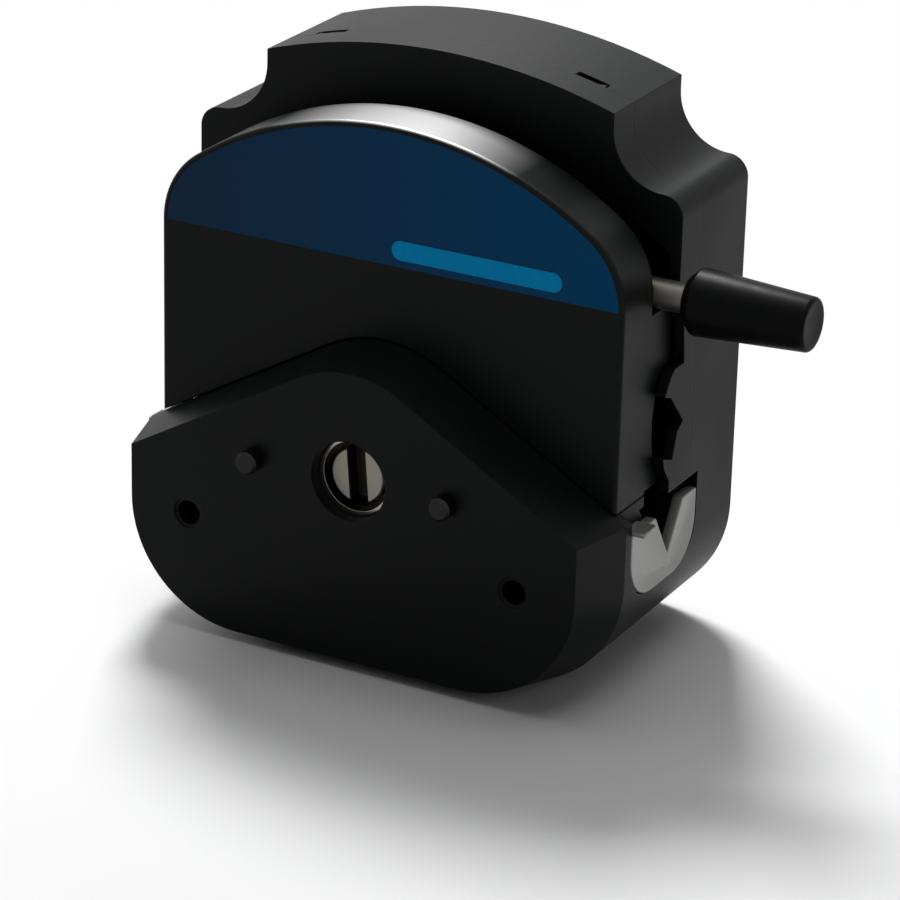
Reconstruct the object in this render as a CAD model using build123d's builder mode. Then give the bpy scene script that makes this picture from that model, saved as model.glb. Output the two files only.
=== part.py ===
"""Peristaltic pump head: a fixed housing, a roller rotor and a lever-lifted upper jaw.

Frame: millimetres, +Z up, +X to the right seen from the front, the drive behind at +Y.
The origin is on the drive shaft's axis at the rear mounting face. Stations along the
shaft are distances in front of that face, so a station h lies at Y = -h.
"""

from build123d import *
from math import cos, pi, radians, sin, sqrt, tan
import os

os.makedirs("parts", exist_ok=True)

# ---- Driving dimensions -------------------------------------------------------------

# Stations in front of the rear mounting face
body_depth = 59.3
boss_depth = 12.9
plate_thickness = 11.7
groove_width = 6.0
parting_station = 20.7
chamber_front = 39.5
chamber_rear = 17.5

# Housing outline
body_half = 50.4
body_bottom = -38.0
body_corner = 24.0
neck_half = 36.0
shoulder_height = 55.0
shoulder_radius = 4.0
crown_rise = 19.0
crown_radius = 116.0
mouth_drop = 11.0
deck_height = -3.0
wall = 2.1
slope = 30.0

# Front boss
boss_half = 46.8
boss_peak = 21.0
boss_bottom = -36.0
boss_corner = 23.0
body_peak = 23.2

# Jaw plate
plate_half = 48.0
plate_arch_radius = 71.0
plate_apex = 64.5
plate_corner = 16.5
label_inset = 1.1
label_bottom = 38.1
label_thickness = 0.4
bar_length = 34.6
bar_height = 3.7
bar_thickness = 0.15
bar_centre = (18.4, 41.4)

# Running gaps
slide_gap = 0.3
turn_gap = 0.03
axle_gap = 0.05

# Rotor
roller_radius = 6.0
roller_length = 15.0
roller_circle = 17.0
roller_count = 3
axle_radius = 2.0
disc_radius = 21.5
disc_thickness = 2.5
rotor_centre = 28.5
rotor_hub_radius = 8.5
end_float = 0.2
chamber_radius = 26.0
spacer_radius = 2.5
roller_chamfer = 0.6

# Shaft, bearings and drive ends
journal_radius = 6.0
stub_radius = 5.5
bearing_radius = 12.0
bearing_width = 6.0
front_bore_radius = 7.75
sleeve_radius = 7.4
sleeve_wall = 0.6
sleeve_recess = 3.0
shaft_recess = 3.5
slot_width = 3.9
slot_depth = 3.5
slot_tilt = 5.0
tang_width = 3.6
tang_length = 6.0
spigot_radius = 7.6
spigot_length = 2.8
spigot_bore = 6.0

# Mounting
stack_hole_radius = 2.4
stack_hole_x = 34.4
stack_hole_z = -14.1
stack_ring_radius = 3.0
stack_ring_depth = 0.4
dowel_radius = 2.25
dowel_shank_radius = 1.9
dowel_x = 20.25
dowel_depth = 8.0
dowel_stand = 3.0
dowel_gap = 0.05
dowel_chamfer = 0.5

# Jaw bed, webs and slides
bed_gap = 4.3
liner_thickness = 1.2
bed_top = 34.0
bed_half = 42.0
bed_rear = 18.8
horn_bottom = 15.0
horn_width = 7.5
window_top = 22.5
web_top = 34.2
jaw_lift = 9.5
guide_x = 42.5
guide_radius = 2.0
guide_bottom = -22.0
guide_top = 30.0
bush_wall = 1.0
bush_length = 10.0
spring_bottom = -14.0
spring_top = 12.0
spring_radius = 3.4
spring_wire = 0.5
spring_turns = 5
spring_pocket = 4.4

# Lever and cam
lever_height = 37.5
camshaft_radius = 3.5
hub_radius = 6.5
rod_radius = 2.8
rod_length = 57.0
knob_start = 54.0
knob_length = 24.0
knob_radius = 6.4
knob_tip_radius = 5.0
knob_chamfer = 1.8
cam_reach = 20.0
cam_width = 6.0
cam_front = 15.3
cam_tip_radius = 1.5
cam_hub_wall = 2.5
camshaft_grip = 4.5
cavity_floor = 24.0
ear_radius = 9.0
ear_thickness = 3.0
ear_gap = 0.3
pad_thickness = 3.0
pad_half = 14.0
pad_gap = 0.1

# Tube retainers
retainer_thickness = 2.2
retainer_front = 44.0
retainer_rear = 17.1
retainer_bottom = -19.0
retainer_top = -5.0
retainer_corner = 9.0
vee_centre = 28.5
vee_half = 5.6
vee_bottom = -14.0
retainer_travel = 3.0
retainer_gap = 0.25
tab_length = 8.0
tab_reach = 2.4
tab_thickness = 1.2

# Screws
screw_radius = 1.5
screw_head_radius = 2.75
screw_head_length = 3.0
screw_cover = 1.5
screw_socket = 1.4
screw_socket_depth = 1.6
head_gap = 0.25
upper_screw_x = 28.0
upper_screw_drop = 8.5
lower_screw_x = 36.0
lower_screw_z = -27.0
rear_chamfer = 1.0
clip_width = 6.4
clip_depth = 1.8
clip_centre = 27.2
clip_gap = 0.5
clip_reach = 7.25
clip_tongue = 3.0
clip_drop = 5.5

# ---- Sizes that follow --------------------------------------------------------------

plate_front = body_depth - boss_depth
plate_rear = plate_front - plate_thickness
hood_face = plate_rear - groove_width
groove_middle = (plate_rear + hood_face) / 2
side_inner = body_half - wall
rotor_radius = roller_circle + roller_radius
bed_radius = rotor_radius + bed_gap
liner_back = bed_radius + liner_thickness
roller_rear = rotor_centre - roller_length / 2
roller_front = rotor_centre + roller_length / 2
disc_rear = roller_rear - end_float - disc_thickness
disc_front = roller_front + end_float
shaft_front = body_depth - shaft_recess
seat_front = chamber_front + bearing_width
seat_rear = chamber_rear - bearing_width
pad_bottom = lever_height + cam_reach + pad_gap
cavity_top = pad_bottom + pad_thickness
cavity_rear = cam_front - cam_width - 0.7
ear_front = hood_face - ear_gap
guide_station = (plate_front + plate_rear) / 2
bush_outer = guide_radius + bush_wall
diagonal = cos(radians(45))
hood_foot = retainer_top + retainer_travel + retainer_gap
crown_height = shoulder_height + crown_rise
upper_screw_z = crown_height - upper_screw_drop
upper_screws = [(upper_screw_x, upper_screw_z), (-upper_screw_x, upper_screw_z)]
lower_screws = [(lower_screw_x, lower_screw_z), (-lower_screw_x, lower_screw_z)]
screw_places = upper_screws + lower_screws
screw_end = hood_face - screw_cover
counterbore_depth = dowel_stand + 1.0


def front(station):
    """Plane that looks out of the front at a station; its sketch axes are X and Z."""
    return Plane.XZ.offset(station)


def peaked_profile(half, peak, bottom, corner):
    """Outline with a round peak on the shaft's axis, two slopes and a round bottom."""
    edge = peak / cos(radians(slope)) - half * tan(radians(slope))
    foot_x, foot_z = peak * sin(radians(slope)), peak * cos(radians(slope))
    inset = corner * (1 - diagonal)
    with BuildSketch() as sketch:
        with BuildLine():
            Polyline((-half, bottom + corner), (-half, edge), (-foot_x, foot_z))
            ThreePointArc((-foot_x, foot_z), (0, peak), (foot_x, foot_z))
            Polyline((foot_x, foot_z), (half, edge), (half, bottom + corner))
            ThreePointArc(
                (half, bottom + corner),
                (half - inset, bottom + inset),
                (half - corner, bottom),
            )
            Line((half - corner, bottom), (corner - half, bottom))
            ThreePointArc(
                (corner - half, bottom),
                (inset - half, bottom + inset),
                (-half, bottom + corner),
            )
        make_face()
    return sketch.sketch


def base_profile():
    """Lower body behind the peak: the round bottom with a level deck."""
    with BuildSketch() as sketch:
        add(peaked_profile(body_half, body_peak, body_bottom, body_corner))
        with Locations((0, deck_height)):
            Rectangle(
                4 * body_half, 2 * body_half,
                align=(Align.CENTER, Align.MIN),
                mode=Mode.SUBTRACT,
            )
    return sketch.sketch


def hood_profile():
    """Whole rear outline: round bottom, shoulders, scooped neck and arched crown."""
    inset = body_corner * (1 - diagonal)
    scoop = body_half - shoulder_radius - neck_half
    shoulder = shoulder_height - shoulder_radius
    turn = shoulder_radius * (1 - diagonal)
    edge = crown_height - crown_radius + sqrt(crown_radius**2 - neck_half**2)
    with BuildSketch() as sketch:
        with BuildLine() as right:
            Line((0, body_bottom), (body_half - body_corner, body_bottom))
            ThreePointArc(
                (body_half - body_corner, body_bottom),
                (body_half - inset, body_bottom + inset),
                (body_half, body_bottom + body_corner),
            )
            Line((body_half, body_bottom + body_corner), (body_half, shoulder))
            ThreePointArc(
                (body_half, shoulder),
                (body_half - turn, shoulder_height - turn),
                (body_half - shoulder_radius, shoulder_height),
            )
            ThreePointArc(
                (body_half - shoulder_radius, shoulder_height),
                (neck_half + scoop * (1 - diagonal), shoulder_height + scoop * (1 - diagonal)),
                (neck_half, shoulder_height + scoop),
            )
            Line((neck_half, shoulder_height + scoop), (neck_half, edge))
            ThreePointArc(
                (neck_half, edge),
                (neck_half / 2, crown_height - crown_radius + sqrt(crown_radius**2 - neck_half**2 / 4)),
                (0, crown_height),
            )
            mirror(right.line, about=Plane.YZ)
        make_face()
    return sketch.sketch


def mouth_profile():
    """Opening in the hood that the jaw slides in."""
    spring_line = shoulder_height - mouth_drop
    with BuildSketch() as sketch:
        with BuildLine():
            Polyline(
                (-side_inner, spring_line), (-side_inner, deck_height),
                (side_inner, deck_height), (side_inner, spring_line),
            )
            ThreePointArc(
                (side_inner, spring_line), (0, cavity_top - 1.0), (-side_inner, spring_line)
            )
        make_face()
    return sketch.sketch


def arch_profile(inset, bottom):
    """The jaw plate's arch, drawn in by inset and cut off level at bottom."""
    half = plate_half - inset
    radius = plate_arch_radius - inset
    apex = plate_apex - inset
    edge = apex - radius + sqrt(radius**2 - half**2)
    foot = body_bottom
    with BuildSketch() as sketch:
        with BuildLine():
            Polyline((-half, edge), (-half, foot), (half, foot), (half, edge))
            ThreePointArc((half, edge), (0, apex), (-half, edge))
        make_face()
        fillet(sketch.vertices().group_by(Axis.Y)[-1], plate_corner - inset)
        with Locations((0, bottom)):
            Rectangle(
                4 * half, 4 * half,
                align=(Align.CENTER, Align.MAX),
                mode=Mode.SUBTRACT,
            )
    return sketch.sketch


def retainer_profile(grow, top):
    """The retainer's round-bottomed outline, grown all round by grow."""
    with BuildSketch() as sketch:
        low, high = -retainer_front - grow, -retainer_rear + grow
        with Locations(((low + high) / 2, top)):
            Rectangle(high - low, top - retainer_bottom + grow, align=(Align.CENTER, Align.MAX))
        fillet(sketch.vertices().group_by(Axis.Y)[0], retainer_corner + grow)
    return sketch.sketch


def vee_profile(grow, top):
    """Open V for the tube, with its sides at a fixed angle."""
    reach = top - vee_bottom
    half = (vee_half + grow) * reach / (retainer_top - vee_bottom)
    with BuildSketch() as sketch:
        Polygon(
            (-vee_centre, vee_bottom - grow), (-vee_centre + half, top), (-vee_centre - half, top),
            align=None,
        )
    return sketch.sketch


def guard_profile():
    """Toothed front edge of the hood's side wall, with the V notch that centres a tube."""
    with BuildSketch() as sketch:
        with BuildLine():
            Polyline(
                (-parting_station, hood_foot),
                (-29.3, hood_foot), (-29.3, 0.6), (-31.7, 3.7), (-32.3, 5.9),
                (-28.4, 4.5), (-26.8, 9.5), (-24.5, 11.0), (-30.2, 17.3), (-32.7, 18.2),
                (-30.6, 21.3), (-29.0, window_top), (-25.2, window_top), (-26.2, 31.7),
                (-hood_face, web_top), (-parting_station, web_top), close=True,
            )
        make_face()
    return sketch.sketch


def web_profile():
    """Jaw web beside the tube window, with the round saddle under the lever."""
    with BuildSketch() as sketch:
        with BuildLine():
            Polyline(
                (-plate_rear, 0.0), (-27.9, 0.0), (-27.9, 1.0), (-31.3, 4.0),
                (-32.4, 9.0), (-32.7, 13.4), (-31.6, 18.0), (-29.6, window_top),
                (-26.2, window_top), (-26.2, web_top - 3.0),
            )
            RadiusArc((-26.2, web_top - 3.0), (-29.2, web_top), -3.0)
            Polyline((-29.2, web_top), (-plate_rear, web_top), (-plate_rear, 0.0))
        make_face()
    return sketch.sketch


# ---- Front housing ------------------------------------------------------------------

with BuildPart() as front_housing:
    with BuildSketch(front(plate_front)):
        add(peaked_profile(body_half, body_peak, body_bottom, body_corner))
    with BuildSketch(front(body_depth)):
        add(peaked_profile(boss_half, boss_peak, boss_bottom, boss_corner))
    loft(ruled=True)
    with BuildSketch(front(plate_rear)):
        add(peaked_profile(body_half, body_peak, body_bottom, body_corner))
    extrude(amount=plate_thickness)
    with BuildSketch(front(parting_station)):
        add(base_profile())
    extrude(amount=plate_rear - parting_station)
    # Rotor chamber, bearing seat and front bore
    with BuildSketch(front(parting_station)):
        Circle(chamber_radius)
    extrude(amount=chamber_front - parting_station, mode=Mode.SUBTRACT)
    with BuildSketch(front(chamber_front)):
        Circle(bearing_radius)
    extrude(amount=bearing_width, mode=Mode.SUBTRACT)
    with BuildSketch(front(seat_front)):
        Circle(sleeve_radius)
    extrude(amount=body_depth - seat_front, mode=Mode.SUBTRACT)
    with BuildSketch(front(body_depth - sleeve_recess)):
        Circle(front_bore_radius)
    extrude(amount=sleeve_recess, mode=Mode.SUBTRACT)
    # Tube channel across the body
    with BuildSketch(Plane.YZ.offset(-body_half)):
        add(vee_profile(1.0, deck_height))
    extrude(amount=2 * body_half, mode=Mode.SUBTRACT)
    # Pockets that the retainers slide in
    for pocket_face in (side_inner - retainer_gap, -body_half - 1):
        with BuildSketch(Plane.YZ.offset(pocket_face)):
            add(retainer_profile(retainer_gap, 0))
        extrude(amount=wall + retainer_gap + 1, mode=Mode.SUBTRACT)
    # Guide pins and their springs
    with BuildSketch(Plane.XY.offset(guide_bottom)):
        with Locations((guide_x, -guide_station), (-guide_x, -guide_station)):
            Circle(guide_radius)
    extrude(amount=body_peak - guide_bottom, mode=Mode.SUBTRACT)
    with BuildSketch(Plane.XY.offset(spring_bottom)):
        with Locations((guide_x, -guide_station), (-guide_x, -guide_station)):
            Circle(spring_pocket)
    extrude(amount=body_peak - spring_bottom, mode=Mode.SUBTRACT)
    # Stacking holes, dowels and screws
    with BuildSketch(front(parting_station)):
        with Locations((stack_hole_x, stack_hole_z), (-stack_hole_x, stack_hole_z)):
            Circle(stack_hole_radius)
    extrude(amount=body_depth - parting_station, mode=Mode.SUBTRACT)
    with BuildSketch(front(body_depth - stack_ring_depth)):
        with Locations((stack_hole_x, stack_hole_z), (-stack_hole_x, stack_hole_z)):
            Circle(stack_ring_radius)
    extrude(amount=stack_ring_depth, mode=Mode.SUBTRACT)
    with BuildSketch(front(body_depth - dowel_depth)):
        with Locations((dowel_x, 0), (-dowel_x, 0)):
            Circle(dowel_shank_radius)
    extrude(amount=dowel_depth, mode=Mode.SUBTRACT)
    with BuildSketch(front(parting_station)):
        with Locations(*lower_screws):
            Circle(screw_radius)
    extrude(amount=screw_end - parting_station, mode=Mode.SUBTRACT)
front_housing.part.label = "front_housing"
export_step(front_housing.part, "parts/front_housing.step")

# ---- Hood frame ---------------------------------------------------------------------

with BuildPart() as hood_frame:
    with BuildSketch(front(parting_station)):
        add(hood_profile())
        add(mouth_profile(), mode=Mode.SUBTRACT)
        with Locations((0, web_top)):
            Rectangle(
                4 * body_half, 4 * body_half,
                align=(Align.CENTER, Align.MAX),
                mode=Mode.SUBTRACT,
            )
    extrude(amount=hood_face - parting_station)
    for guard_face in (side_inner, -body_half):
        with BuildSketch(Plane.YZ.offset(guard_face)):
            add(guard_profile())
        extrude(amount=wall)
    with BuildSketch(front(parting_station)):
        with Locations(*upper_screws):
            Circle(screw_radius)
    extrude(amount=screw_end - parting_station, mode=Mode.SUBTRACT)
    # Clip tongues at the top of the parting line
    with BuildSketch(front(parting_station - clip_depth + clip_gap)):
        with Locations((clip_centre, crown_height - clip_drop), (-clip_centre, crown_height - clip_drop)):
            Rectangle(clip_width - 2 * clip_gap, clip_tongue)
    extrude(amount=clip_depth)
hood_frame.part.label = "hood_frame"
export_step(hood_frame.part, "parts/hood_frame.step")

# ---- Rear housing -------------------------------------------------------------------

with BuildPart() as rear_housing:
    with BuildSketch(front(0)):
        add(hood_profile())
    extrude(amount=parting_station)
    chamfer(rear_housing.faces().sort_by(Axis.Y)[-1].outer_wire().edges(), rear_chamfer)
    with BuildSketch(front(0)):
        Circle(spigot_radius)
    extrude(amount=-spigot_length)
    with BuildSketch(front(-spigot_length)):
        Circle(spigot_bore)
    extrude(amount=parting_station + spigot_length, mode=Mode.SUBTRACT)
    with BuildSketch(front(seat_rear)):
        Circle(bearing_radius)
    extrude(amount=parting_station - seat_rear, mode=Mode.SUBTRACT)
    with BuildSketch(front(chamber_rear)):
        Circle(chamber_radius)
    extrude(amount=parting_station - chamber_rear, mode=Mode.SUBTRACT)
    with BuildSketch(front(bed_rear - ear_gap)):
        add(mouth_profile())
    extrude(amount=parting_station - bed_rear + ear_gap, mode=Mode.SUBTRACT)
    with BuildSketch(front(cavity_rear)):
        with Locations((0, cavity_top)):
            Rectangle(
                2 * (cam_reach + 3), cavity_top - cavity_floor,
                align=(Align.CENTER, Align.MAX),
            )
    extrude(amount=parting_station - cavity_rear, mode=Mode.SUBTRACT)
    with BuildSketch(front(0)):
        with Locations((stack_hole_x, stack_hole_z), (-stack_hole_x, stack_hole_z)):
            Circle(stack_hole_radius)
        with Locations(*screw_places):
            Circle(screw_radius)
    extrude(amount=parting_station, mode=Mode.SUBTRACT)
    with BuildSketch(front(0)):
        with Locations((dowel_x, 0), (-dowel_x, 0)):
            Circle(dowel_radius + dowel_gap)
        with Locations(*screw_places):
            Circle(screw_head_radius + head_gap)
    extrude(amount=counterbore_depth, mode=Mode.SUBTRACT)
    with BuildSketch(front(parting_station - clip_depth)):
        with Locations((clip_centre, crown_height), (-clip_centre, crown_height)):
            Rectangle(clip_width, 2 * clip_reach)
    extrude(amount=clip_depth, mode=Mode.SUBTRACT)
    for pocket_face in (side_inner - retainer_gap, -body_half - 1):
        with BuildSketch(Plane.YZ.offset(pocket_face)):
            add(retainer_profile(retainer_gap, hood_foot))
        extrude(amount=wall + retainer_gap + 1, mode=Mode.SUBTRACT)
rear_housing.part.label = "rear_housing"
export_step(rear_housing.part, "parts/rear_housing.step")

# ---- Fixed pieces in the housing ----------------------------------------------------

with BuildPart() as shaft_bearings:
    with BuildSketch(front(seat_rear), front(chamber_front)):
        Circle(bearing_radius)
        Circle(journal_radius + turn_gap, mode=Mode.SUBTRACT)
    extrude(amount=bearing_width)
shaft_bearings.part.label = "shaft_bearings"
export_step(shaft_bearings.part, "parts/shaft_bearings.step")

with BuildPart() as bore_sleeve:
    with BuildSketch(front(seat_front)):
        Circle(sleeve_radius)
        Circle(sleeve_radius - sleeve_wall, mode=Mode.SUBTRACT)
    extrude(amount=body_depth - seat_front - sleeve_recess)
bore_sleeve.part.label = "bore_sleeve"
export_step(bore_sleeve.part, "parts/bore_sleeve.step")

with BuildPart() as dowel_pins:
    with BuildSketch(front(body_depth - dowel_depth)):
        with Locations((dowel_x, 0), (-dowel_x, 0)):
            Circle(dowel_shank_radius)
    extrude(amount=dowel_depth)
    with BuildSketch(front(body_depth)):
        with Locations((dowel_x, 0), (-dowel_x, 0)):
            Circle(dowel_radius)
    extrude(amount=dowel_stand)
    chamfer(dowel_pins.faces().sort_by(Axis.Y)[:2].edges(), dowel_chamfer)
dowel_pins.part.label = "dowel_pins"
export_step(dowel_pins.part, "parts/dowel_pins.step")

with BuildPart() as housing_screws:
    with BuildSketch(front(counterbore_depth)):
        with Locations(*screw_places):
            Circle(screw_radius)
    extrude(amount=screw_end - counterbore_depth)
    with BuildSketch(front(counterbore_depth - screw_head_length)):
        with Locations(*screw_places):
            Circle(screw_head_radius)
    extrude(amount=screw_head_length)
    with BuildSketch(front(counterbore_depth - screw_head_length)):
        with Locations(*screw_places):
            RegularPolygon(screw_socket, 6)
    extrude(amount=screw_socket_depth, mode=Mode.SUBTRACT)
housing_screws.part.label = "housing_screws"
export_step(housing_screws.part, "parts/housing_screws.step")

with BuildPart() as cam_pad:
    with BuildSketch(front(cavity_rear)):
        with Locations((0, pad_bottom)):
            Rectangle(2 * pad_half, pad_thickness, align=(Align.CENTER, Align.MIN))
    extrude(amount=cam_width + 1.2)
cam_pad.part.label = "cam_pad"
export_step(cam_pad.part, "parts/cam_pad.step")

with BuildPart() as guide_pins:
    with BuildSketch(Plane.XY.offset(guide_bottom)):
        with Locations((guide_x, -guide_station), (-guide_x, -guide_station)):
            Circle(guide_radius)
    extrude(amount=guide_top - guide_bottom)
    chamfer(guide_pins.faces().sort_by(Axis.Z)[-2:].edges(), 0.5)
guide_pins.part.label = "guide_pins"
export_step(guide_pins.part, "parts/guide_pins.step")


def lift_spring(x):
    """One compression spring round a guide pin."""
    length = spring_top - spring_bottom - 2 * spring_wire
    with BuildPart() as coil:
        with BuildLine(Plane.XY.offset(spring_bottom + spring_wire)) as path:
            Helix(length / spring_turns, length, spring_radius, center=(x, -guide_station, 0))
        with BuildSketch(Plane(origin=path.line @ 0, z_dir=path.line % 0)):
            RegularPolygon(spring_wire, 6)
        sweep()
    return coil.part


with BuildPart() as lift_springs:
    add(lift_spring(guide_x))
    add(lift_spring(-guide_x))
lift_springs.part.label = "lift_springs"
export_step(lift_springs.part, "parts/lift_springs.step")

# ---- Upper jaw ----------------------------------------------------------------------

with BuildPart() as jaw_block:
    with BuildSketch(front(plate_rear)):
        add(arch_profile(0, 2 * deck_height))
        add(
            peaked_profile(body_half, body_peak + slide_gap, body_bottom, body_corner),
            mode=Mode.SUBTRACT,
        )
    extrude(amount=plate_thickness)
    fillet(jaw_block.faces().sort_by(Axis.Y)[0].outer_wire().edges().sort_by(Axis.Z)[-3:], 0.8)
    with BuildSketch(front(plate_front - label_thickness)):
        add(arch_profile(label_inset, label_bottom))
    extrude(amount=label_thickness, mode=Mode.SUBTRACT)
    # Bed over the rotor, with two horns that lead the tube round
    with BuildSketch(front(bed_rear)):
        with BuildLine():
            Polyline(
                (-bed_half, bed_top), (-bed_half, window_top),
                (-liner_back - horn_width, window_top), (-liner_back - 1.5, horn_bottom),
                (0, horn_bottom), (liner_back + 1.5, horn_bottom),
                (liner_back + horn_width, window_top), (bed_half, window_top),
                (bed_half, bed_top), close=True,
            )
        make_face()
        Circle(liner_back, mode=Mode.SUBTRACT)
    extrude(amount=plate_rear - bed_rear)
    # Webs beside the tube windows
    with BuildSketch(Plane.YZ.offset(bed_half)):
        add(web_profile())
    extrude(amount=plate_half - bed_half)
    with BuildSketch(Plane.YZ.offset(-plate_half)):
        add(web_profile())
    extrude(amount=plate_half - bed_half)
    # Ears that carry the camshaft
    with BuildSketch(front(bed_rear - ear_thickness), front(ear_front - ear_thickness)):
        with Locations((0, lever_height)):
            Circle(ear_radius)
        with Locations((0, lever_height)):
            Rectangle(
                2 * ear_radius, lever_height - liner_back - ear_gap,
                align=(Align.CENTER, Align.MAX),
            )
    extrude(amount=ear_thickness)
    with BuildSketch(front(bed_rear - ear_thickness)):
        with Locations((0, lever_height)):
            Circle(camshaft_radius + bush_wall)
    extrude(amount=plate_rear - bed_rear + ear_thickness, mode=Mode.SUBTRACT)
    with BuildSketch(front(hood_face - ear_gap)):
        with Locations((0, lever_height)):
            Circle(hub_radius + slide_gap)
    extrude(amount=groove_width + ear_gap, mode=Mode.SUBTRACT)
    with BuildSketch(front(plate_rear)):
        with Locations((0, lever_height)):
            Circle(camshaft_radius + turn_gap)
    extrude(amount=camshaft_grip + end_float, mode=Mode.SUBTRACT)
    # Guide bores from below
    with BuildSketch(Plane.XY.offset(body_bottom)):
        with Locations((guide_x, -guide_station), (-guide_x, -guide_station)):
            Circle(bush_outer)
    extrude(amount=guide_top + 1.0 - body_bottom, mode=Mode.SUBTRACT)
    with BuildSketch(Plane.XY.offset(body_bottom)):
        with Locations((guide_x, -guide_station), (-guide_x, -guide_station)):
            Circle(spring_pocket)
    extrude(amount=spring_top - body_bottom, mode=Mode.SUBTRACT)
jaw_block.part.label = "jaw_block"
export_step(jaw_block.part, "parts/jaw_block.step")

with BuildPart() as name_label:
    with BuildSketch(front(plate_front - label_thickness)):
        add(arch_profile(label_inset, label_bottom))
    extrude(amount=label_thickness)
name_label.part.label = "name_label"
export_step(name_label.part, "parts/name_label.step")

with BuildPart() as label_bar:
    with BuildSketch(front(plate_front)):
        with Locations(bar_centre):
            SlotOverall(bar_length, bar_height)
    extrude(amount=bar_thickness)
label_bar.part.label = "label_bar"
export_step(label_bar.part, "parts/label_bar.step")

with BuildPart() as occlusion_bed:
    with BuildSketch(front(bed_rear)):
        Circle(liner_back)
        Circle(bed_radius, mode=Mode.SUBTRACT)
        with Locations((0, horn_bottom)):
            Rectangle(
                4 * liner_back, 4 * liner_back,
                align=(Align.CENTER, Align.MAX),
                mode=Mode.SUBTRACT,
            )
    extrude(amount=plate_rear - bed_rear)
occlusion_bed.part.label = "occlusion_bed"
export_step(occlusion_bed.part, "parts/occlusion_bed.step")

with BuildPart() as guide_bushes:
    with BuildSketch(Plane.XY.offset(guide_top + 1.0 - bush_length)):
        with Locations((guide_x, -guide_station), (-guide_x, -guide_station)):
            Circle(bush_outer)
            Circle(guide_radius + axle_gap, mode=Mode.SUBTRACT)
    extrude(amount=bush_length)
guide_bushes.part.label = "guide_bushes"
export_step(guide_bushes.part, "parts/guide_bushes.step")

with BuildPart() as cam_bushes:
    with BuildSketch(front(bed_rear - ear_thickness), front(ear_front - ear_thickness)):
        with Locations((0, lever_height)):
            Circle(camshaft_radius + bush_wall)
            Circle(camshaft_radius + turn_gap, mode=Mode.SUBTRACT)
    extrude(amount=ear_thickness)
cam_bushes.part.label = "cam_bushes"
export_step(cam_bushes.part, "parts/cam_bushes.step")

# ---- Lever and cam ------------------------------------------------------------------

lift_rate = jaw_lift / pi


def cam_point(angle):
    """Point of the flat-follower cam whose outward normal stands at angle."""
    support = cam_reach - lift_rate * (pi / 2 - angle)
    return (
        support * cos(angle) - lift_rate * sin(angle),
        support * sin(angle) + lift_rate * cos(angle) + lever_height,
    )


cam_lead = radians(12)
cam_steps = 8
cam_angles = [
    -pi / 2 - cam_lead + step * (pi + 2 * cam_lead) / cam_steps for step in range(cam_steps + 1)
]

with BuildPart() as camshaft:
    with BuildSketch(front(cam_front - cam_width - 0.3)):
        with Locations((0, lever_height)):
            Circle(camshaft_radius)
    extrude(amount=plate_rear + camshaft_grip - cam_front + cam_width + 0.3)
    chamfer(camshaft.edges().filter_by(GeomType.CIRCLE).sort_by(Axis.Y)[-1], 0.3)
camshaft.part.label = "camshaft"
export_step(camshaft.part, "parts/camshaft.step")

with BuildPart() as lift_cam:
    with BuildSketch(front(cam_front - cam_width)):
        with BuildLine() as outline:
            working_face = Spline(*[cam_point(angle) for angle in cam_angles])
            Line(working_face @ 1, working_face @ 0)
        make_face()
        fillet(outline.vertices(), cam_tip_radius)
        with Locations((0, lever_height)):
            Circle(camshaft_radius + cam_hub_wall)
            Circle(camshaft_radius, mode=Mode.SUBTRACT)
    extrude(amount=cam_width)
lift_cam.part.label = "lift_cam"
export_step(lift_cam.part, "parts/lift_cam.step")

with BuildPart() as lever_rod:
    with BuildSketch(front(hood_face + 0.2)):
        with Locations((0, lever_height)):
            Circle(hub_radius)
    extrude(amount=groove_width - 0.4)
    with BuildSketch(Plane.YZ):
        with Locations((-groove_middle, lever_height)):
            Circle(rod_radius)
    extrude(amount=rod_length)
    with BuildSketch(front(hood_face)):
        with Locations((0, lever_height)):
            Circle(camshaft_radius)
    extrude(amount=groove_width, mode=Mode.SUBTRACT)
lever_rod.part.label = "lever_rod"
export_step(lever_rod.part, "parts/lever_rod.step")

with BuildPart() as lever_knob:
    knob_end = knob_start + knob_length
    with BuildSketch(Plane.XY.offset(lever_height)):
        with BuildLine():
            Polyline(
                (knob_start, -groove_middle + rod_radius),
                (knob_start, -groove_middle + knob_radius - knob_chamfer),
                (knob_start + knob_chamfer, -groove_middle + knob_radius),
                (knob_end - 0.8, -groove_middle + knob_tip_radius),
                (knob_end, -groove_middle + knob_tip_radius - 0.8),
                (knob_end, -groove_middle),
                (rod_length, -groove_middle),
                (rod_length, -groove_middle + rod_radius),
                close=True,
            )
        make_face()
    revolve(axis=Axis((0, -groove_middle, lever_height), (1, 0, 0)))
lever_knob.part.label = "lever_knob"
export_step(lever_knob.part, "parts/lever_knob.step")

# ---- Rotor --------------------------------------------------------------------------

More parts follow.
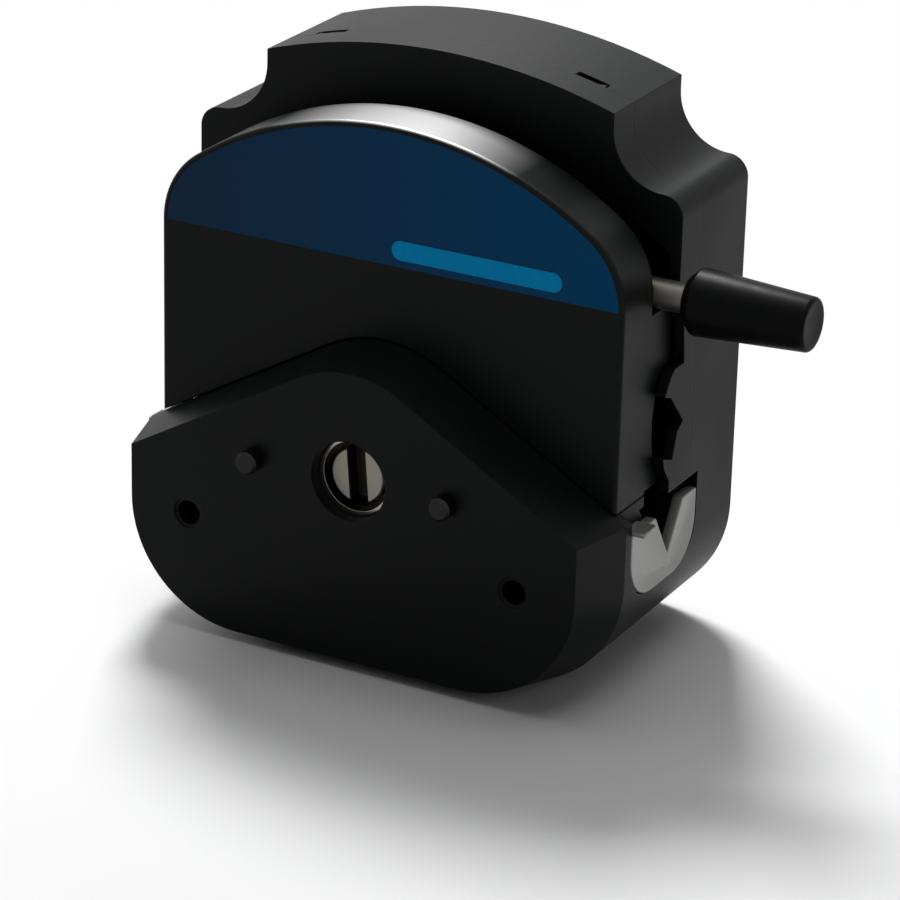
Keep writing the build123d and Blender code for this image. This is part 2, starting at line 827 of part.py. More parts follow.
with BuildPart() as drive_shaft:
    with BuildSketch(front(seat_rear - 0.5)):
        Circle(journal_radius)
    extrude(amount=seat_front + 0.5 - seat_rear)
    with BuildSketch(front(disc_rear + disc_thickness)):
        Circle(rotor_hub_radius)
    extrude(amount=disc_front - disc_rear - disc_thickness)
    with BuildSketch(front(seat_front)):
        Circle(stub_radius)
    extrude(amount=shaft_front - seat_front)
    chamfer(drive_shaft.edges().filter_by(GeomType.CIRCLE).sort_by(Axis.Y)[0], 0.3)
    with BuildSketch(front(shaft_front - slot_depth)):
        Rectangle(slot_width, 4 * stub_radius, rotation=slot_tilt)
    extrude(amount=slot_depth, mode=Mode.SUBTRACT)
    with BuildSketch(front(-spigot_length)):
        Circle(stub_radius)
    extrude(amount=seat_rear - 0.5 + spigot_length)
    with BuildSketch(front(-spigot_length)):
        Circle(stub_radius)
        with Locations((tang_width / 2 + stub_radius, 0), (-tang_width / 2 - stub_radius, 0)):
            Rectangle(2 * stub_radius, 4 * stub_radius, mode=Mode.SUBTRACT)
    extrude(amount=spigot_length - tang_length)
drive_shaft.part.label = "drive_shaft"
export_step(drive_shaft.part, "parts/drive_shaft.step")

for disc_name, disc_station in (("rotor_rear_disc", disc_rear), ("rotor_front_disc", disc_front)):
    with BuildPart() as disc:
        with BuildSketch(front(disc_station)):
            Circle(disc_radius)
            Circle(journal_radius, mode=Mode.SUBTRACT)
            with PolarLocations(roller_circle, roller_count, start_angle=90):
                Circle(axle_radius, mode=Mode.SUBTRACT)
        extrude(amount=disc_thickness)
    disc.part.label = disc_name
    export_step(disc.part, "parts/" + disc_name + ".step")

with BuildPart() as roller_axles:
    with BuildSketch(front(disc_rear)):
        with PolarLocations(roller_circle, roller_count, start_angle=90):
            Circle(axle_radius)
    extrude(amount=disc_front + disc_thickness - disc_rear)
roller_axles.part.label = "roller_axles"
export_step(roller_axles.part, "parts/roller_axles.step")

with BuildPart() as rotor_spacers:
    with BuildSketch(front(disc_rear + disc_thickness)):
        with PolarLocations(roller_circle, roller_count, start_angle=30):
            Circle(spacer_radius)
    extrude(amount=disc_front - disc_rear - disc_thickness)
rotor_spacers.part.label = "rotor_spacers"
export_step(rotor_spacers.part, "parts/rotor_spacers.step")

for number in range(roller_count):
    turn = radians(90 + number * 360 / roller_count)
    centre = (roller_circle * cos(turn), roller_circle * sin(turn))
    with BuildPart() as roller:
        with BuildSketch(front(roller_rear)):
            with Locations(centre):
                Circle(roller_radius)
                Circle(axle_radius + axle_gap, mode=Mode.SUBTRACT)
        extrude(amount=roller_length)
        ends = roller.faces().filter_by(Axis.Y)
        chamfer(ends.edges().filter_by(lambda edge: edge.radius > axle_radius + 1), roller_chamfer)
    roller.part.label = "roller_" + str(number + 1)
    export_step(roller.part, "parts/" + roller.part.label + ".step")

# ---- Tube retainers -----------------------------------------------------------------

for retainer_name, side in (("tube_retainer_right", 1), ("tube_retainer_left", -1)):
    inner = side_inner if side > 0 else -side_inner - retainer_thickness
    with BuildPart() as retainer:
        with BuildSketch(Plane.YZ.offset(inner)):
            add(retainer_profile(0, retainer_top))
            add(vee_profile(0, retainer_top), mode=Mode.SUBTRACT)
        extrude(amount=retainer_thickness)
        with BuildSketch(Plane.YZ.offset(inner if side > 0 else inner - tab_reach)):
            with Locations((-retainer_front, retainer_top)):
                Rectangle(tab_length, tab_thickness, align=(Align.MIN, Align.MIN))
        extrude(amount=retainer_thickness + tab_reach)
    retainer.part.label = retainer_name
    export_step(retainer.part, "parts/" + retainer_name + ".step")
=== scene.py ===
"""Dresses the pump head: finishes for the moulded, printed and machined pieces, a turned lever
knob, two moulded tube retainers, and a pale studio floor to stand it on."""

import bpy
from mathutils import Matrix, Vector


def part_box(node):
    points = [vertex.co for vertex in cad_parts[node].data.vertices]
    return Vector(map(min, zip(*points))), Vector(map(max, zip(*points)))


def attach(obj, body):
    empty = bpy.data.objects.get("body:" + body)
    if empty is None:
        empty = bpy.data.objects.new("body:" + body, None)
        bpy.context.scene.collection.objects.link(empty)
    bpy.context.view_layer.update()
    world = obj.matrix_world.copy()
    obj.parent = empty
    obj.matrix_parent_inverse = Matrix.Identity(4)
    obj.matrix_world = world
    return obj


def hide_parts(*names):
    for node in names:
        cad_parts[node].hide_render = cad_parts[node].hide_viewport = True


bl_info = {
    "name": "Peristaltic Pump Head",
    "version": (1, 0, 0),
    "blender": (4, 5, 0),
    "location": "3D View > Sidebar > Pump Head",
    "description": "Dresses an easy-load peristaltic pump head with its finishes and small pieces",
    "category": "Object",
}

import bpy
from math import pi, radians
from mathutils import Matrix, Vector

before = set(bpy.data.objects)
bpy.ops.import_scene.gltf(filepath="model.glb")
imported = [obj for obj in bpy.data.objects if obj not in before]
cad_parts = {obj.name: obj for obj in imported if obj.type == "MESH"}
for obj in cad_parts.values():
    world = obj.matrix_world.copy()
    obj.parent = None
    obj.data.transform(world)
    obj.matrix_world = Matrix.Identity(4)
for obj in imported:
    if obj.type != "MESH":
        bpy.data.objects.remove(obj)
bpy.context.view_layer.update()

MM = 0.001

RETAINER_PLATE = 2.2 * MM
RETAINER_CORNER = 9.0 * MM
VEE_FOOT = -14.0 * MM
VEE_HALF = 5.6 * MM
TAB_LENGTH = 5.2 * MM
TAB_THICKNESS = 1.2 * MM
TAB_OVERLAP = 0.4 * MM

KNOB_TAPER = 5.0 / 6.4
ROD_SOCKET_RADIUS = 3.1 * MM
ROD_SOCKET_DEPTH = 1.0 * MM


# ---- Sizes and colours that a user would change --------------------------------------


class PumpHeadSizes(bpy.types.PropertyGroup):
    """Sizes of the pieces that are modelled here."""

    edge_softness: bpy.props.FloatProperty(
        name="Edge softness", description="Radius of the moulded pieces' softened edges",
        default=0.35 * MM, unit="LENGTH",
    )
    knob_chamfer: bpy.props.FloatProperty(
        name="Knob chamfer", description="Chamfer at the lever's end of the knob",
        default=1.9 * MM, unit="LENGTH",
    )
    knob_edge: bpy.props.FloatProperty(
        name="Knob edge", description="Rounding at the free end of the knob",
        default=0.7 * MM, unit="LENGTH",
    )
    retainer_rim: bpy.props.FloatProperty(
        name="Retainer rim", description="Width of the raised rim round a tube retainer",
        default=1.3 * MM, unit="LENGTH",
    )
    rim_height: bpy.props.FloatProperty(
        name="Rim height", description="How far a retainer's rim stands proud of its face",
        default=0.35 * MM, unit="LENGTH",
    )
    floor_reach: bpy.props.FloatProperty(
        name="Floor reach", description="Half the width of the studio floor",
        default=6.0, unit="LENGTH",
    )


class PumpHeadColours(bpy.types.PropertyGroup):
    """Base colours of the finishes."""

    shell: bpy.props.FloatVectorProperty(
        name="Moulded shell", description="Black of the moulded housing and jaw",
        subtype="COLOR", default=(0.0021, 0.0026, 0.0026), min=0, max=1,
    )
    knob: bpy.props.FloatVectorProperty(
        name="Knob", description="Black of the polished knob",
        subtype="COLOR", default=(0.0018, 0.0022, 0.002), min=0, max=1,
    )
    label_deep: bpy.props.FloatVectorProperty(
        name="Label, deep", description="Printed navy at the label's left end",
        subtype="COLOR", default=(0.011, 0.022, 0.047), min=0, max=1,
    )
    label_bright: bpy.props.FloatVectorProperty(
        name="Label, bright", description="Printed navy at the label's right end",
        subtype="COLOR", default=(0.0008, 0.054, 0.142), min=0, max=1,
    )
    bar: bpy.props.FloatVectorProperty(
        name="Label bar", description="Cyan of the plain bar on the label",
        subtype="COLOR", default=(0.0001, 0.26, 0.55), min=0, max=1,
    )
    retainer: bpy.props.FloatVectorProperty(
        name="Retainer", description="Natural white of the tube retainers",
        subtype="COLOR", default=(0.30, 0.30, 0.285), min=0, max=1,
    )
    steel: bpy.props.FloatVectorProperty(
        name="Steel", description="Turned and ground steel",
        subtype="COLOR", default=(0.21, 0.20, 0.175), min=0, max=1,
    )


# ---- Shader graph helpers ------------------------------------------------------------


class Wire:
    """A node's output socket. Arithmetic on it adds Math nodes."""

    def __init__(self, graph, socket):
        self.graph = graph
        self.socket = socket

    def math(self, operation, *values):
        return self.graph.node("ShaderNodeMath", {"operation": operation}, dict(enumerate(values)))

    def __add__(self, other):
        return self.math("ADD", self, other)

    def __sub__(self, other):
        return self.math("SUBTRACT", self, other)

    def __rsub__(self, other):
        return self.math("SUBTRACT", other, self)

    def __mul__(self, other):
        return self.math("MULTIPLY", self, other)

    def __pow__(self, other):
        return self.math("POWER", self, other)

    def __rpow__(self, other):
        return self.math("POWER", other, self)

    __radd__ = __add__
    __rmul__ = __mul__


class Graph:
    """A node tree that is written one node at a time."""

    def __init__(self, tree):
        self.tree = tree
        self.tree.nodes.clear()

    def node(self, kind, settings=None, sockets=None, output=0):
        """Adds a node with its settings, then the values or links of its sockets."""
        made = self.tree.nodes.new(kind)
        for name, value in (settings or {}).items():
            setattr(made, name, value)
        for name, value in (sockets or {}).items():
            if isinstance(value, Wire):
                self.tree.links.new(value.socket, made.inputs[name])
            else:
                made.inputs[name].default_value = value
        return Wire(self, made.outputs[output]) if made.outputs else None

    def place(self):
        """The point on the piece, in metres."""
        return self.node("ShaderNodeTexCoord", output="Object")

    def axes(self):
        """The same point's three distances along X, Y and Z."""
        parts = self.node("ShaderNodeSeparateXYZ", {}, {0: self.place()}).socket.node.outputs
        return [Wire(self, parts[axis]) for axis in "XYZ"]

    def noise(self, scale, detail=3.0, stretch=None, output="Fac"):
        """Noise whose features measure about 1 / scale metres, drawn out along stretch."""
        place = self.place()
        if stretch is not None:
            place = self.node("ShaderNodeMapping", {}, {"Vector": place, "Scale": stretch})
        sockets = {"Vector": place, "Scale": scale, "Detail": detail}
        return self.node("ShaderNodeTexNoise", {}, sockets, output)

    def between(self, value, low, high, start=0.0, end=1.0):
        """Maps value's range low to high onto start to end, and holds it at the ends."""
        sockets = {"Value": value, "From Min": low, "From Max": high, "To Min": start, "To Max": end}
        return self.node("ShaderNodeMapRange", {"clamp": True}, sockets)

    def mix(self, share, first, second):
        """A colour between two colours."""
        return self.node("ShaderNodeMix", {"data_type": "RGBA"}, {0: share, 6: first, 7: second}, 2)

    def soft_edge(self, radius):
        """The surface's normal with its edges rounded to a radius."""
        return self.node("ShaderNodeBevel", {"samples": 6}, {"Radius": radius})

    def bump(self, height, distance, normal=None):
        """A normal that follows a height, which is in units of distance."""
        sockets = {"Height": height, "Distance": distance}
        if normal is not None:
            sockets["Normal"] = normal
        return self.node("ShaderNodeBump", {}, sockets)

    def surface(self, sockets):
        """Ends the graph in one Principled surface."""
        shader = self.node("ShaderNodeBsdfPrincipled", {}, sockets)
        self.node("ShaderNodeOutputMaterial", {}, {"Surface": shader})


def finish_graph(name):
    """A new material and its empty graph."""
    material = bpy.data.materials.new(name)
    material.use_nodes = True
    return material, Graph(material.node_tree)


def shade(colour, factor):
    """A colour made lighter or darker, as a socket takes it."""
    return (*(min(1.0, channel * factor) for channel in colour), 1.0)


# ---- Finishes ------------------------------------------------------------------------


def moulded_plastic(name, colour, edge, roughness, grain, polish=None):
    """Black plastic from a spark-textured mould, with slight flow clouds and soft edges.
    Where polish gives a front face and a crown, the rim behind the face is buffed there."""
    material, graph = finish_graph(name)
    texture = graph.noise(2600.0, 2.0)
    clouds = graph.noise(34.0, 4.0)
    specks = graph.between(graph.noise(1100.0, 1.0), 0.70, 0.76)
    colour_clouds = graph.mix(clouds, shade(colour, 0.8), shade(colour, 1.2))
    base = graph.mix(specks * 0.3, colour_clouds, shade(colour, 3.0))
    rough = graph.between(clouds, 0.3, 0.7, roughness - 0.04, roughness + 0.04)
    rough = rough + (texture - 0.5) * 0.10
    sockets = {
        "Base Color": base, "Roughness": rough,
        "Normal": graph.bump(texture, grain, graph.soft_edge(edge)),
        "Specular IOR Level": 0.085,
    }
    if polish is not None:
        face, crown = polish
        depth, up = graph.axes()[1:]
        rim = graph.between(depth, face + 0.1 * MM, face + 0.3 * MM)
        sockets["Coat Weight"] = rim * graph.between(up, crown - 5 * MM, crown - 0.5 * MM)
        sockets["Coat Roughness"] = 0.42
        sockets["Coat IOR"] = 2.8
    graph.surface(sockets)
    return material


def polished_plastic(name, colour, edge):
    """Smooth black knob with faint moulding ripples."""
    material, graph = finish_graph(name)
    ripple = graph.noise(160.0, 2.0, (0.35, 1.0, 1.0))
    handling = graph.noise(420.0, 5.0, (1.0, 2.5, 2.5))
    graph.surface({
        "Base Color": graph.mix(handling, shade(colour, 0.85), shade(colour, 1.3)),
        "Roughness": graph.between(handling, 0.3, 0.75, 0.34, 0.44),
        "Normal": graph.bump(ripple, 3e-5, graph.soft_edge(edge)),
        "Specular IOR Level": 0.04,
    })
    return material


def printed_film(name, deep, bright, start, end):
    """Printed label film whose navy brightens from one end to the other."""
    material, graph = finish_graph(name)
    share = graph.between(graph.axes()[0], start, end)
    print_grain = graph.noise(3200.0, 1.0)
    tone = graph.mix(share, shade(deep, 1.0), shade(bright, 1.0))
    grained = graph.mix(print_grain * 0.25, tone, shade(bright, 1.5))
    graph.surface({
        "Base Color": grained,
        "Roughness": graph.between(print_grain, 0.3, 0.7, 0.36, 0.44),
        "Normal": graph.bump(graph.noise(700.0, 2.0), 4e-6),
        "Specular IOR Level": 0.03,
    })
    return material


def printed_bar(name, colour):
    """Cyan ink that lies a little unevenly."""
    material, graph = finish_graph(name)
    grain = graph.noise(900.0, 3.0)
    graph.surface({
        "Base Color": graph.mix(grain, shade(colour, 0.82), shade(colour, 1.14)),
        "Roughness": graph.between(grain, 0.3, 0.7, 0.34, 0.42),
        "Normal": graph.bump(grain, 3e-6),
        "Specular IOR Level": 0.03,
    })
    return material


def natural_plastic(name, colour):
    """Milky unpigmented plastic: light soaks in and the surface stays waxy."""
    material, graph = finish_graph(name)
    flow = graph.noise(120.0, 4.0, (1.0, 0.6, 1.6))
    graph.surface({
        "Base Color": graph.mix(flow, shade(colour, 0.82), shade(colour, 1.12)),
        "Roughness": graph.between(flow, 0.3, 0.7, 0.26, 0.36),
        "Subsurface Weight": 0.35,
        "Subsurface Radius": (0.0015, 0.0015, 0.0014),
        "Subsurface Scale": 1.0,
        "Transmission Weight": 0.25,
        "IOR": 1.49,
        "Normal": graph.bump(graph.noise(900.0, 2.0), 8e-6, graph.soft_edge(0.2 * MM)),
    })
    return material


def turned_steel(name, colour, tone, roughness, along):
    """Turned or drawn metal: fine marks that run round it, so they change along its axis."""
    material, graph = finish_graph(name)
    marks = graph.noise(5200.0, 3.0, tuple(1.0 if axis == along else 0.02 for axis in "XYZ"))
    patches = graph.noise(220.0, 3.0)
    graph.surface({
        "Base Color": graph.mix(patches, shade(colour, 0.86 * tone), shade(colour, 1.12 * tone)),
        "Metallic": 1.0,
        "Roughness": graph.between(marks, 0.3, 0.7, roughness - 0.06, roughness + 0.08),
        "Normal": graph.bump(marks, 5e-6, graph.soft_edge(0.12 * MM)),
    })
    return material


def faced_steel(name, colour, roughness, face):
    """Shaft steel: its end face carries the rings of a facing cut, and painted shade darkens its slot
    and the sides behind the face.
    """
    material, graph = finish_graph(name)
    ring_pitch = 0.22 * MM
    side, depth, up = graph.axes()
    radius = (side * side + up * up) ** 0.5
    ring_angle = radius * (2 * pi / ring_pitch)
    rings = graph.node("ShaderNodeMath", {"operation": "SINE"}, {0: ring_angle})
    stains = graph.noise(380.0, 4.0)
    # painted shade: the steel darkens from 0.2 mm to 0.9 mm behind the end face, in the slot and down
    # the shaft's sides
    painted_slot_shade = graph.between(depth, face + 0.2 * MM, face + 0.9 * MM)
    bright = graph.mix(stains, shade(colour, 0.8), shade(colour, 1.1))
    graph.surface({
        # the painted shade mix: steel turns almost black in the slot and on the sides behind the face
        "Base Color": graph.mix(painted_slot_shade, bright, shade(colour, 0.12)),
        "Metallic": 1.0,
        "Roughness": graph.between(stains, 0.3, 0.7, roughness - 0.05, roughness + 0.09),
        "Normal": graph.bump(rings, 2.5e-6, graph.soft_edge(0.15 * MM)),
    })
    return material


# ---- Modelling helpers ---------------------------------------------------------------


def clear_selection():
    """Leaves object mode with nothing selected."""
    if bpy.context.object and bpy.context.object.mode != "OBJECT":
        bpy.ops.object.mode_set(mode="OBJECT")
    bpy.ops.object.select_all(action="DESELECT")


def select_only(piece):
    """Makes one piece the only one selected, and active."""
    clear_selection()
    piece.select_set(True)
    bpy.context.view_layer.objects.active = piece


def edit_select(piece, mode, wanted):
    """Enters edit mode with only the edges or faces selected that wanted accepts."""
    bpy.ops.object.mode_set(mode="EDIT")
    bpy.ops.mesh.select_mode(type=mode)
    bpy.ops.mesh.select_all(action="DESELECT")
    bpy.ops.object.mode_set(mode="OBJECT")
    for part in piece.data.edges if mode == "EDGE" else piece.data.polygons:
        part.select = wanted(part)
    bpy.ops.object.mode_set(mode="EDIT")


def edge_ends(piece, edge):
    """The two ends of an edge."""
    return [piece.data.vertices[index].co for index in edge.vertices]


def apply_all(piece):
    """Applies a piece's place and modifiers, so that its object sits unturned at the origin."""
    select_only(piece)
    bpy.ops.object.transform_apply(location=True, rotation=True, scale=True)
    for modifier in list(piece.modifiers):
        bpy.ops.object.modifier_apply(modifier=modifier.name)


def add_bevel(piece, width, segments, angle):
    """Rounds the edges that turn by more than an angle."""
    bevel = piece.modifiers.new("Bevel", "BEVEL")
    bevel.width = width
    bevel.segments = segments
    bevel.limit_method = "ANGLE"
    bevel.angle_limit = radians(angle)


def smooth(piece):
    """Shades a piece smooth, apart from its sharp edges."""
    select_only(piece)
    bpy.ops.object.shade_smooth_by_angle(angle=radians(32))


def cut_away(piece, tool):
    """Cuts a tool's shape out of a piece, then removes the tool."""
    select_only(piece)
    cut = piece.modifiers.new("Cut", "BOOLEAN")
    cut.operation = "DIFFERENCE"
    cut.solver = "EXACT"
    cut.object = tool
    bpy.ops.object.modifier_apply(modifier=cut.name)
    bpy.data.objects.remove(tool)


def dress(material, *nodes):
    """Gives CAD nodes a finish."""
    for name in nodes:
        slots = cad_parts[name].data.materials
        slots.clear()
        slots.append(material)


def hand_over(piece, name, material, body, node):
    """Names a finished piece, gives it its finish and lets it stand for its CAD node."""
    piece.name = name
    piece.data.name = name
    piece.data.materials.clear()
    piece.data.materials.append(material)
    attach(piece, body)
    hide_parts(node)


# ---- Operators -----------------------------------------------------------------------


class PUMP_OT_moulded_shells(bpy.types.Operator):
    """Finishes the housing, hood frame and jaw in black moulded plastic"""

    bl_idname = "pump.moulded_shells"
    bl_label = "Moulded shells"

    def execute(self, context):
        colour = context.scene.pump_colours.shell
        edge = context.scene.pump_sizes.edge_softness
        housing = moulded_plastic("housing_black", colour, edge, 0.44, 9e-6)
        low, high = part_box("jaw_block")
        jaw = moulded_plastic("jaw_black", colour, edge, 0.42, 5e-6, polish=(low.y, high.z))
        dress(housing, "front_housing", "hood_frame", "rear_housing")
        dress(jaw, "jaw_block")
        return {"FINISHED"}


class PUMP_OT_name_label(bpy.types.Operator):
    """Finishes the plain name label and its plain bar"""

    bl_idname = "pump.name_label"
    bl_label = "Name label"

    def execute(self, context):
        colours = context.scene.pump_colours
        low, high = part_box("name_label")
        film = printed_film("label_film", colours.label_deep, colours.label_bright, low.x, high.x)
        dress(film, "name_label")
        dress(printed_bar("label_bar_ink", colours.bar), "label_bar")
        return {"FINISHED"}


class PUMP_OT_lever_knob(bpy.types.Operator):
    """Turns the tapered knob on the end of the lever"""

    bl_idname = "pump.lever_knob"
    bl_label = "Lever knob"

    def execute(self, context):
        sizes = context.scene.pump_sizes
        low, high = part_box("lever_knob")
        length, wide = high.x - low.x, (high.z - low.z) / 2
        middle = (low + high) / 2
        clear_selection()
        bpy.ops.mesh.primitive_cone_add(
            vertices=96, radius1=wide, radius2=wide * KNOB_TAPER, depth=length,
            location=middle, rotation=(0, pi / 2, 0),
        )
        knob = bpy.context.object
        bpy.ops.object.transform_apply(location=True, rotation=True, scale=True)

        def ring_at(x):
            return lambda edge: all(abs(end.x - x) < 0.1 * MM for end in edge_ends(knob, edge))

        edit_select(knob, "EDGE", ring_at(low.x))
        bpy.ops.mesh.bevel(offset=sizes.knob_chamfer, segments=1, affect="EDGES")
        edit_select(knob, "EDGE", ring_at(high.x))
        bpy.ops.mesh.bevel(offset=sizes.knob_edge, segments=5, affect="EDGES")
        edit_select(knob, "FACE", lambda face: face.normal.x > 0.99 and len(face.vertices) > 8)
        bpy.ops.mesh.inset(thickness=0.9 * MM)
        bpy.ops.transform.translate(value=(-0.15 * MM, 0, 0))
        edit_select(knob, "FACE", lambda face: face.normal.x < -0.99 and len(face.vertices) > 8)
        bpy.ops.mesh.inset(thickness=wide - sizes.knob_chamfer - ROD_SOCKET_RADIUS)
        bpy.ops.mesh.extrude_region_move(TRANSFORM_OT_translate={"value": (ROD_SOCKET_DEPTH, 0, 0)})
        bpy.ops.object.mode_set(mode="OBJECT")
        add_bevel(knob, 0.25 * MM, 3, 25)
        apply_all(knob)
        smooth(knob)
        black = polished_plastic("knob_black", context.scene.pump_colours.knob, 0.3 * MM)
        hand_over(knob, "turned_knob", black, "lever", "lever_knob")
        return {"FINISHED"}


class PUMP_OT_tube_retainers(bpy.types.Operator):
    """Models the two milky V retainers that hold the tube at the sides"""

    bl_idname = "pump.tube_retainers"
    bl_label = "Tube retainers"

    def execute(self, context):
        material = natural_plastic("retainer_natural", context.scene.pump_colours.retainer)
        for side, node in ((1, "tube_retainer_right"), (-1, "tube_retainer_left")):
            self.retainer(context.scene.pump_sizes, side, node, material)
        return {"FINISHED"}

    def retainer(self, sizes, side, node, material):
        low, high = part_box(node)
        inner = min(abs(low.x), abs(high.x))
        top = high.z - TAB_THICKNESS
        centre = Vector(
            (side * (inner + RETAINER_PLATE / 2), (low.y + high.y) / 2, (low.z + top) / 2)
        )
        piece = self.block(centre, (RETAINER_PLATE, high.y - low.y, top - low.z))

        def lower_corner(edge):
            ends = edge_ends(piece, edge)
            return abs(ends[0].x - ends[1].x) > RETAINER_PLATE / 2 and ends[0].z < centre.z

        edit_select(piece, "EDGE", lower_corner)
        bpy.ops.mesh.bevel(offset=RETAINER_CORNER, segments=14, affect="EDGES")
        bpy.ops.object.mode_set(mode="OBJECT")
        self.cut_vee(piece, centre.x, top)
        edit_select(piece, "FACE", lambda face: face.normal.x * side > 0.99)
        bpy.ops.mesh.inset(thickness=sizes.retainer_rim)
        bpy.ops.transform.translate(value=(-side * sizes.rim_height, 0, 0))
        bpy.ops.object.mode_set(mode="OBJECT")
        add_bevel(piece, 0.3 * MM, 3, 30)
        apply_all(piece)
        tab = self.thumb_tab(low, high, side, top)
        select_only(piece)
        tab.select_set(True)
        bpy.ops.object.join()
        smooth(piece)
        body = "retainer_right" if side > 0 else "retainer_left"
        hand_over(piece, f"moulded_{node}", material, body, node)

    def block(self, centre, size):
        """A cube primitive brought to its size and place."""
        clear_selection()
        bpy.ops.mesh.primitive_cube_add(size=1, location=centre)
        piece = bpy.context.object
        piece.scale = size
        bpy.ops.object.transform_apply(location=True, rotation=True, scale=True)
        return piece

    def cut_vee(self, piece, middle, top):
        """Cuts the V that the tube lies in, in line with the rollers, with a wedge."""
        front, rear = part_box("roller_1")
        tube_line = (front.y + rear.y) / 2
        above = top + 1.0 * MM
        height = above - VEE_FOOT
        half = VEE_HALF * height / (top - VEE_FOOT)
        wedge = self.block((middle, tube_line, VEE_FOOT + height / 2),
                           (3 * RETAINER_PLATE, 2 * half, height))
        edit_select(wedge, "FACE", lambda face: face.normal.z < -0.9)
        bpy.ops.transform.resize(value=(1, 0, 1), center_override=(middle, tube_line, VEE_FOOT))
        bpy.ops.mesh.select_all(action="SELECT")
        bpy.ops.mesh.remove_doubles(threshold=0.01 * MM)
        bpy.ops.object.mode_set(mode="OBJECT")
        cut_away(piece, wedge)

    def thumb_tab(self, low, high, side, top):
        """The dished tab that a thumb lifts the retainer by."""
        outer = side * max(abs(low.x), abs(high.x))
        root = side * (min(abs(low.x), abs(high.x)) + TAB_OVERLAP)
        middle = ((outer + root) / 2, low.y + TAB_LENGTH / 2, top + TAB_THICKNESS / 2)
        tab = self.block(middle, (abs(outer - root), TAB_LENGTH, TAB_THICKNESS))
        edit_select(tab, "FACE", lambda face: face.normal.z > 0.9)
        bpy.ops.mesh.inset(thickness=0.7 * MM)
        bpy.ops.transform.translate(value=(0, 0, -0.5 * MM))
        bpy.ops.object.mode_set(mode="OBJECT")
        add_bevel(tab, 0.45 * MM, 4, 30)
        apply_all(tab)
        return tab


class PUMP_OT_machined_pieces(bpy.types.Operator):
    """Finishes the shaft, lever rod, pins, bearings, rotor and rollers"""

    bl_idname = "pump.machined_pieces"
    bl_label = "Machined pieces"

    def execute(self, context):
        steel = context.scene.pump_colours.steel
        dress(faced_steel("shaft_steel", steel, 0.42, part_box("drive_shaft")[0].y), "drive_shaft")
        bearing_pieces = ("shaft_bearings", "camshaft", "roller_axles", "cam_pad")
        rotor_pieces = ("rotor_front_disc", "rotor_rear_disc", "rotor_spacers")
        rollers = ("roller_1", "roller_2", "roller_3")
        plan = (
            ("rod_steel", steel, 0.65, 0.42, "X", ("lever_rod",)),
            ("sleeve_steel", steel, 1.25, 0.22, "Y", ("bore_sleeve",)),
            ("bearing_steel", steel, 1.15, 0.25, "Y", bearing_pieces),
            ("pin_steel", steel, 1.15, 0.24, "Z", ("guide_pins",)),
            ("spring_wire", steel, 1.3, 0.2, "Z", ("lift_springs",)),
            ("dowel_black", (0.018, 0.018, 0.019), 1.0, 0.38, "Y", ("dowel_pins",)),
            ("blackened_steel", (0.05, 0.05, 0.053), 1.0, 0.4, "Y", ("lift_cam",)),
            ("bed_steel", steel, 1.2, 0.3, "X", ("occlusion_bed",)),
            ("bronze", (0.36, 0.23, 0.11), 1.0, 0.42, "Y", ("guide_bushes", "cam_bushes")),
            ("rotor_alloy", (0.55, 0.56, 0.57), 1.0, 0.36, "Y", rotor_pieces),
            ("roller_steel", (0.6, 0.6, 0.6), 1.0, 0.18, "Y", rollers),
            ("screw_black", (0.03, 0.03, 0.032), 1.0, 0.36, "Y", ("housing_screws",)),
        )
        for name, colour, tone, roughness, along, nodes in plan:
            dress(turned_steel(name, colour, tone, roughness, along), *nodes)
        return {"FINISHED"}


